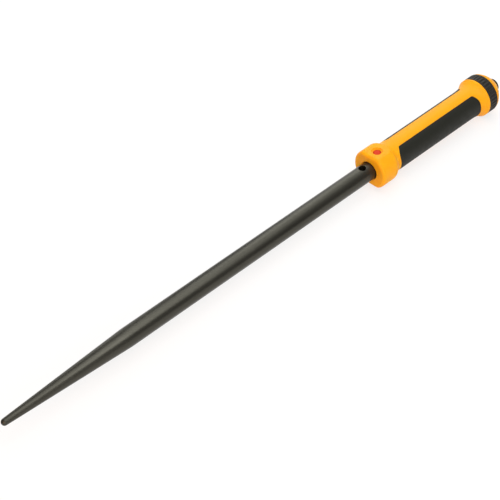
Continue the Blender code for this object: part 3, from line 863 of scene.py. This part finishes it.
    def build(self) -> list[Object]:
        """Model the body and both panels."""
        return [self.make_body(), self.make_panel(Side.LEFT), self.make_panel(Side.RIGHT)]


@dataclass
class RearEnd:
    """The ribbed ring, the end cap and the strike cap behind the handle."""

    ring_front_x: float = low_corner("end_ring").x
    ring_rear_x: float = high_corner("end_ring").x
    ring_radius: float = high_corner("end_ring").y
    ring_edge: float = 0.6 * MM
    ring_spacing: float = 0.4 * MM
    rib_count: int = 34
    steps_per_rib: int = 12
    groove_width: float = 1.9 * MM
    groove_depth: float = 0.65 * MM
    groove_floor_share: float = 0.2
    groove_reach_share: float = 1.55
    band: float = 1.3 * MM
    band_blend: float = 0.8 * MM
    rib_sharp_degrees: float = 50.0
    cap_rear_x: float = high_corner("end_cap").x
    cap_radius: float = high_corner("end_cap").z
    cap_fillet: float = 0.4 * MM
    cap_power: float = 1.45
    cap_steps: int = 14
    crown_radius: float = 8.4 * MM
    crown_fillet: float = 0.5 * MM
    hub_radius: float = 15.9 * MM
    hub_bore: float = 12.5 * MM
    seat_x: float = -17.0 * MM
    strike_radius: float = high_corner("strike_cap").z
    strike_rounding: float = 1.2 * MM
    strike_back_fillet: float = 0.3 * MM
    stem_radius: float = 5.0 * MM
    stem_x: float = low_corner("strike_cap").x
    cap_segments: int = 160
    strike_segments: int = 96

    def ring_profile(self) -> list[Spot]:
        """Draw the ring's section, with points close enough for its ribs.

        Returns:
            Its points as (place along the bar, radius).
        """
        front, rear, radius = self.ring_front_x, self.ring_rear_x, self.ring_radius
        bore = self.hub_radius + GAP
        middle = straight((front + self.ring_edge, radius), (rear - self.ring_edge, radius),
                          self.ring_spacing)
        return rounded([(front, bore), (front, radius, self.ring_edge), *middle,
                        (rear, radius, self.ring_edge), (rear, bore)])

    def make_ring(self) -> Object:
        """Model the rubber ring, its ribs cut by shallow grooves that stop short of both edges.

        Returns:
            The finished piece.
        """
        bm = turned_bmesh(self.ring_profile(), self.rib_count * self.steps_per_rib)
        pitch = FULL_TURN / self.rib_count
        half_groove = self.groove_width / self.ring_radius / 2
        front = self.ring_front_x + self.band
        rear = self.ring_rear_x - self.band
        for vert in bm.verts:
            radius = math.hypot(vert.co.y, vert.co.z)
            if radius < self.ring_radius - self.ring_edge:
                continue
            angle = math.atan2(vert.co.y, vert.co.z)
            off_groove = abs((angle + pitch / 2) % pitch - pitch / 2)
            hollow = 1.0 - smooth_step(off_groove, half_groove * self.groove_floor_share,
                                       half_groove * self.groove_reach_share)
            hollow *= smooth_step(vert.co.x, front, front + self.band_blend)
            hollow *= 1.0 - smooth_step(vert.co.x, rear - self.band_blend, rear)
            share = 1.0 - self.groove_depth * hollow / radius
            vert.co.y *= share
            vert.co.z *= share
        return piece("ribbed_ring", bm, "end_ring", RING_RUBBER,
                     sharp_degrees=self.rib_sharp_degrees)

    def make_cap(self) -> Object:
        """Model the domed end cap with its hub.

        Returns:
            The finished piece.
        """
        front_x = self.ring_rear_x + GAP
        length = self.cap_rear_x - front_x
        drop = self.cap_radius - self.crown_radius
        stem_bore = self.stem_radius + GAP
        spots: list[Spot] = [(self.ring_front_x, self.hub_bore), (self.ring_front_x, self.hub_radius),
                             (front_x, self.hub_radius), (front_x, self.cap_radius, self.cap_fillet)]
        for i in range(1, self.cap_steps):
            share = i / self.cap_steps
            spots.append((front_x + length * share, self.cap_radius - drop * share ** self.cap_power))
        spots += [(self.cap_rear_x, self.crown_radius, self.crown_fillet), (self.cap_rear_x, stem_bore),
                  (self.seat_x, stem_bore), (self.seat_x, self.hub_bore)]
        bm = turned_bmesh(rounded(spots), self.cap_segments)
        return piece("domed_end_cap", bm, "end_cap", ORANGE_MOULDING)

    def make_strike_cap(self) -> Object:
        """Model the hardened cap that takes the blows, on its stem.

        Returns:
            The finished piece.
        """
        back_x = self.cap_rear_x + GAP
        spots = [(self.stem_x, 0.0), (self.stem_x, self.stem_radius), (back_x, self.stem_radius),
                 (back_x, self.strike_radius, self.strike_back_fillet),
                 (0.0, self.strike_radius, self.strike_rounding), (0.0, 0.0)]
        bm = turned_bmesh(rounded(spots, closed=False), self.strike_segments, closed=False)
        return piece("struck_cap", bm, "strike_cap", STRUCK_STEEL)

    def build(self) -> list[Object]:
        """Model the ring and both caps."""
        return [self.make_ring(), self.make_cap(), self.make_strike_cap()]


@dataclass
class Shank:
    """The long steel bar: rounded tip, taper, parallel shank and its row of cross holes."""

    tip_x: float = low_corner("shank").x
    rear_x: float = high_corner("shank").x
    radius: float = high_corner("shank").z
    taper_length: float = 131.8 * MM
    taper_blend: float = 120.0 * MM
    taper_spacing: float = 8.0 * MM
    tip_radius: float = 3.2 * MM
    tip_steps: int = 12
    bar_spacing: float = 12.0 * MM
    hole_pitch: float = 20.6 * MM
    hole_count: int = 6
    hole_radius: float = 3.75 * MM
    hole_rim: float = 0.2 * MM
    hole_margin: float = 6.0 * MM
    hole_spacing: float = 1.4 * MM
    rear_chamfer: float = 0.8 * MM
    segments: int = 144
    hole_segments: int = 48
    pin_hole_segments: int = 32

    @property
    def first_hole_x(self) -> float:
        """The hole that shows ahead of the collar, one pitch ahead of the button."""
        return BUTTON.x - self.hole_pitch

    def profile(self) -> list[Spot]:
        """Draw the bar's section from the tip to its rear end.

        Returns:
            Its points as (place along the bar, radius).
        """
        lean = math.asin((self.radius - self.tip_radius) / self.taper_length)
        centre = self.tip_x + self.tip_radius
        spots: list[Spot] = [(self.tip_x, 0.0)]
        for i in range(1, self.tip_steps + 1):
            angle = math.pi - (QUARTER_TURN - lean) * i / self.tip_steps
            spots.append((centre + self.tip_radius * math.cos(angle), self.tip_radius * math.sin(angle)))
        shoulder = (self.tip_x + self.taper_length, self.radius)
        holes = (self.first_hole_x - self.hole_margin, self.radius)
        chamfer = (self.rear_x - self.rear_chamfer, self.radius)
        spots += straight(spots[-1], shoulder, self.taper_spacing)
        spots.append((*shoulder, self.taper_blend))
        spots += straight(shoulder, holes, self.bar_spacing)
        spots += straight(holes, chamfer, self.hole_spacing)
        spots += [(self.rear_x, self.radius, self.rear_chamfer), (self.rear_x, 0.0)]
        return rounded(spots, closed=False)

    def hole_cutter(self, x: float) -> BMesh:
        """Shape one cross hole with its edges broken at both ends.

        Args:
            x: its place along the bar.

        Returns:
            The cutter as a closed bmesh.
        """
        edge = self.hole_radius + self.hole_rim
        reach = self.radius + OVERRUN
        upper = [(self.radius - self.hole_rim, self.hole_radius, self.hole_rim), (self.radius, edge),
                 (reach, edge + OVERRUN), (reach, 0.0)]
        lower = [(-spot[0], *spot[1:]) for spot in reversed(upper)]
        return upright(rounded(lower + upper, closed=False), self.hole_segments, x)

    def build(self) -> list[Object]:
        """Model the shank.

        Returns:
            The one finished piece.
        """
        bm = turned_bmesh(self.profile(), self.segments, closed=False)
        cutters = [self.hole_cutter(self.first_hole_x + self.hole_pitch * i)
                   for i in range(self.hole_count)]
        reach = self.radius + OVERRUN
        pin_radius = high_corner("guide_pin").z
        cutters.append(upright(rod_profile(pin_radius + GAP, -reach, reach), self.pin_hole_segments,
                               middle_x("guide_pin"), on_y=True))
        return [piece("bar_shank", bm, "shank", BLACK_OXIDE_STEEL, Body.BAR,
                      cutters=cutters, weighted=True)]


@dataclass
class MouthAndButton:
    """What shows in the collar: the rubber wiper in its mouth and the red button on its flat."""

    wiper_x: float = low_corner("wiper_ring").x
    wiper_rear_x: float = high_corner("wiper_ring").x
    wiper_radius: float = high_corner("wiper_ring").z
    wiper_segments: int = 96
    lip_radius: float = 9.2 * MM
    lip_lead: float = 0.1 * MM
    lip_length: float = 0.8 * MM
    lip_fillet: float = 0.2 * MM
    hollow_depth: float = 1.4 * MM
    hollow_fillet: float = 0.3 * MM
    flange_fillet: float = 0.15 * MM
    button_fillet: float = 0.4 * MM
    dome_shares: tuple[float, ...] = (0.8, 0.6, 0.4, 0.2, 0.0)

    def make_wiper(self) -> Object:
        """Model the wiper, with a thin lip that follows the shank.

        Returns:
            The finished piece.
        """
        spots = [(self.wiper_x, self.lip_radius + self.lip_lead, self.lip_fillet),
                 (self.wiper_x, self.wiper_radius), (self.wiper_rear_x, self.wiper_radius),
                 (self.wiper_rear_x, self.lip_radius + self.hollow_depth, self.hollow_fillet),
                 (self.wiper_x + self.lip_length, self.lip_radius, self.lip_fillet)]
        bm = turned_bmesh(rounded(spots), self.wiper_segments)
        return piece("mouth_wiper", bm, "wiper_ring", SOFT_GRIP)

    def make_button(self) -> Object:
        """Model the push button with its rounded edge and slightly domed top.

        Returns:
            The finished piece.
        """
        spots = [(BUTTON.base_z, 0.0), (BUTTON.base_z, BUTTON.flange_radius, self.flange_fillet),
                 (BUTTON.flange_top_z, BUTTON.flange_radius, self.flange_fillet),
                 (BUTTON.flange_top_z, BUTTON.radius),
                 (BUTTON.top_z - BUTTON.dome, BUTTON.radius, self.button_fillet)]
        spots += [(BUTTON.top_z - BUTTON.dome * share ** 2, BUTTON.radius * share)
                  for share in self.dome_shares]
        bm = upright(rounded(spots, closed=False), BUTTON.segments, BUTTON.x)
        return piece("push_button", bm, "lock_button", RED_BUTTON, Body.LOCK)

    def build(self) -> list[Object]:
        """Model the wiper and the button."""
        return [self.make_wiper(), self.make_button()]


@dataclass
class ButtonSpring:
    """The wire spring under the lock pin, with a closed coil at each end."""

    base_z: float = -15.2 * MM
    top_z: float = -10.85 * MM
    coil_radius: float = 1.68 * MM
    wire_radius: float = 0.22 * MM
    open_turns: int = 3
    closed_rise: float = 0.46 * MM
    steps_per_turn: int = 28
    wire_segments: int = 10
    wire_sharp_degrees: float = 50.0
    pressed_share: float = 0.655

    def build(self) -> list[Object]:
        """Wind the spring in its rest shape.

        Returns:
            The one finished piece.
        """
        open_rise = self.top_z - self.base_z - 2 * self.wire_radius - 2 * self.closed_rise
        bm = bmesh.new()
        bmesh.ops.create_circle(bm, segments=self.wire_segments, radius=self.wire_radius)
        bmesh.ops.rotate(bm, verts=bm.verts, matrix=Matrix.Rotation(QUARTER_TURN, 3, "X"))
        bmesh.ops.translate(bm, verts=bm.verts,
                            vec=(self.coil_radius, 0.0, self.base_z + self.wire_radius))
        end: list[Any] = bm.verts[:] + bm.edges[:]
        for turns, rise in ((1, self.closed_rise), (self.open_turns, open_rise), (1, self.closed_rise)):
            steps = turns * self.steps_per_turn
            wound = bmesh.ops.spin(bm, geom=end, cent=(0.0, 0.0, 0.0), axis=(0.0, 0.0, 1.0),
                                   dvec=(0.0, 0.0, rise / steps), angle=FULL_TURN * turns,
                                   steps=steps, use_merge=False, use_duplicate=False)
            end = wound["geom_last"]
        bmesh.ops.holes_fill(bm, edges=bm.edges, sides=self.wire_segments)
        bmesh.ops.translate(bm, verts=bm.verts, vec=(BUTTON.x, 0.0, 0.0))
        face_outwards(bm)
        spring = piece("button_spring", bm, "lock_spring", TURNED_STEEL,
                       sharp_degrees=self.wire_sharp_degrees)
        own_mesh(spring)
        return [spring]


class HiddenWorks:
    """The CAD nodes inside the handle, which keep their own meshes."""

    finishes: dict[Finish, tuple[str, ...]] = {
        BEARING_PLASTIC: ("front_bush", "tube_bush", "slide_ring"),
        TURNED_STEEL: ("guide_tube", "body_pin_left", "body_pin_right", "strike_anvil", "anvil_pin",
                       "guide_pin", "lock_yoke", "lock_pin"),
    }

    def build(self) -> list[Object]:
        """Dress each node with its finish.

        Returns:
            The dressed nodes.
        """
        dressed = []
        for finish, names in self.finishes.items():
            for name in names:
                dress(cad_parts[name], finish)
                LOG.info("%s keeps its CAD mesh in %s", name, finish.name)
                dressed.append(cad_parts[name])
        return dressed


# Studio


@dataclass(frozen=True)
class Softbox:
    """One rectangular lamp that looks at the bar."""

    name: str
    place: tuple[float, float, float]
    power: float
    size: tuple[float, float] = (0.6, 0.6)
    aim: tuple[float, float, float] = (-0.2, 0.0, 0.0)
    colour: str = WHITE

    def build(self) -> None:
        """Hang the lamp."""
        lamp = bpy.data.lights.new(self.name, "AREA")
        lamp.shape = "RECTANGLE"
        lamp.size, lamp.size_y = self.size
        lamp.energy = self.power
        lamp.color = linear(self.colour)[:3]
        obj = bpy.data.objects.new(self.name, lamp)
        bpy.context.scene.collection.objects.link(obj)
        direction = Vector(self.aim) - Vector(self.place)
        obj.matrix_world = (Matrix.Translation(self.place)
                            @ direction.to_track_quat("-Z", "Y").to_matrix().to_4x4())


@dataclass
class Studio:
    """Camera, lamps, world and floor.

    The camera's place follows from the bar in its view: how far the bar's axis dips away from the lens
    and slopes in the picture, how far it is rolled, all in degrees, and where its middle lies.
    """

    focal_px: float = 1480.0
    picture_px: float = 500.0
    sensor: float = 36.0
    near_clip: float = 0.01
    axis_dip: float = 28.5
    axis_slope: float = 34.547
    bar_roll: float = 39.3
    middle: tuple[float, float, float] = (1.699 * MM, -1.183 * MM, -1326.29 * MM)
    middle_from_tip: float = 279.3 * MM
    bar_length: float = -low_corner("shank").x
    floor_z: float = low_corner("handle_shell").z
    floor_size: float = 6.0
    floor_colour: str = "#f4f4f4"
    floor_glow: float = 0.7
    glow_strength: float = 1.06
    world_fill: float = 0.22
    top_height: float = 1.15
    top_size: tuple[float, float] = (0.55, 0.65)

    def make_camera(self) -> None:
        """Set up the camera at the photograph's angle."""
        dip, slope, roll = (math.radians(a) for a in (self.axis_dip, self.axis_slope, self.bar_roll))
        along = Vector((math.cos(dip) * math.cos(slope), math.cos(dip) * math.sin(slope), -math.sin(dip)))
        lift = Vector((math.sin(dip) * math.cos(slope), math.sin(dip) * math.sin(slope), math.cos(dip)))
        across = Vector((-math.sin(slope), math.cos(slope), 0.0))
        left = across * math.cos(roll) - lift * math.sin(roll)
        top = lift * math.cos(roll) + across * math.sin(roll)
        turn = Matrix((along, left, top))
        strike_face = Vector(self.middle) + along * (self.bar_length - self.middle_from_tip)
        lens = bpy.data.cameras.new("camera")
        lens.sensor_width = self.sensor
        lens.lens = self.focal_px / self.picture_px * self.sensor
        lens.clip_start = self.near_clip
        camera = bpy.data.objects.new("camera", lens)
        bpy.context.scene.collection.objects.link(camera)
        camera.matrix_world = Matrix.Translation(-(turn @ strike_face)) @ turn.to_4x4()
        bpy.context.scene.camera = camera

    def make_lamps(self) -> None:
        """Hang softboxes all round and overhead, the brightest at the tip's end and the near side."""
        boxes = [Softbox("far_high_softbox", (0.8, 1.0, 0.95), 3.8, size=(0.9, 0.6)),
                 Softbox("far_low_softbox", (0.9, 1.1, 0.35), 2.2, size=(0.9, 0.6)),
                 Softbox("tip_end_softbox", (-1.4, -0.5, 0.6), 6.2, colour="#ffcaa0"),
                 Softbox("left_softbox", (-0.3, 1.3, 0.5), 2.8, size=(0.8, 0.6)),
                 Softbox("near_side_softbox", (-0.8, -1.15, 0.6), 4.8)]
        for name, x, y, power in (("near_top_softbox", -0.15, -0.65, 5.3),
                                  ("middle_top_softbox", -0.15, 0.0, 3.4),
                                  ("rear_top_softbox", 0.4, 0.0, 1.5),
                                  ("far_top_softbox", 0.4, 0.65, 3.7)):
            boxes.append(Softbox(name, (x, y, self.top_height), power, self.top_size, (x, y, 0.0)))
        for box in boxes:
            box.build()

    def make_world(self) -> None:
        """Make a plain world that fills the shadows, and is white to the camera."""
        world = bpy.data.worlds.new("studio_world")
        world.use_nodes = True
        tree = world.node_tree
        tree.nodes.clear()
        path = add_node(tree, "ShaderNodeLightPath")
        fill = add_node(tree, "ShaderNodeBackground", {"Color": linear(WHITE), "Strength": self.world_fill})
        white = add_node(tree, "ShaderNodeBackground", {"Color": linear(WHITE), "Strength": 1.0})
        seen = add_node(tree, "ShaderNodeMixShader",
                        {0: path.outputs["Is Camera Ray"], 1: fill.outputs[0], 2: white.outputs[0]})
        add_node(tree, "ShaderNodeOutputWorld", {"Surface": seen.outputs[0]})
        bpy.context.scene.world = world

    def make_paper(self) -> Material:
        """Make the floor's paper, which glows white to the camera, in gloss and through glass.

        Returns:
            The material.
        """
        made = bpy.data.materials.new("studio_paper")
        made.use_nodes = True
        tree = made.node_tree
        tree.nodes.clear()
        path = add_node(tree, "ShaderNodeLightPath")
        paper = add_node(tree, "ShaderNodeBsdfDiffuse", {"Color": linear(self.floor_colour)})
        glow = add_node(tree, "ShaderNodeEmission",
                        {"Color": linear(WHITE), "Strength": self.glow_strength})
        seen = path.outputs["Is Camera Ray"]
        for ray in ("Is Glossy Ray", "Is Transmission Ray"):
            either = add_node(tree, "ShaderNodeMath", {0: seen, 1: path.outputs[ray]},
                              operation="MAXIMUM")
            seen = either.outputs[0]
        share = add_node(tree, "ShaderNodeMath", {0: seen, 1: self.floor_glow}, operation="MULTIPLY")
        mixed = add_node(tree, "ShaderNodeMixShader",
                         {0: share.outputs[0], 1: paper.outputs[0], 2: glow.outputs[0]})
        add_node(tree, "ShaderNodeOutputMaterial", {"Surface": mixed.outputs[0]})
        return made

    def make_floor(self) -> None:
        """Lay a level white floor that keeps the bar's soft shadow."""
        bm = bmesh.new()
        bmesh.ops.create_grid(bm, x_segments=1, y_segments=1, size=self.floor_size / 2)
        bmesh.ops.translate(bm, verts=bm.verts, vec=(0.0, 0.0, self.floor_z))
        floor = place("studio_floor", bm)
        floor.data.materials.append(self.make_paper())

    def build(self) -> None:
        """Set up everything that isn't the bar."""
        self.make_camera()
        self.make_lamps()
        self.make_world()
        self.make_floor()
        bpy.context.scene.view_settings.view_transform = "Standard"


def main() -> None:
    """Build the bar's sub-assemblies in order, then the studio."""
    logging.basicConfig(level=logging.INFO, format="%(message)s")
    for assembly in (Handle(), RearEnd(), Shank(), MouthAndButton(), ButtonSpring(), HiddenWorks()):
        pieces = assembly.build()
        LOG.info("%s: %d pieces", type(assembly).__name__, len(pieces))
    Studio().build()


if __name__ == "__main__":
    main()
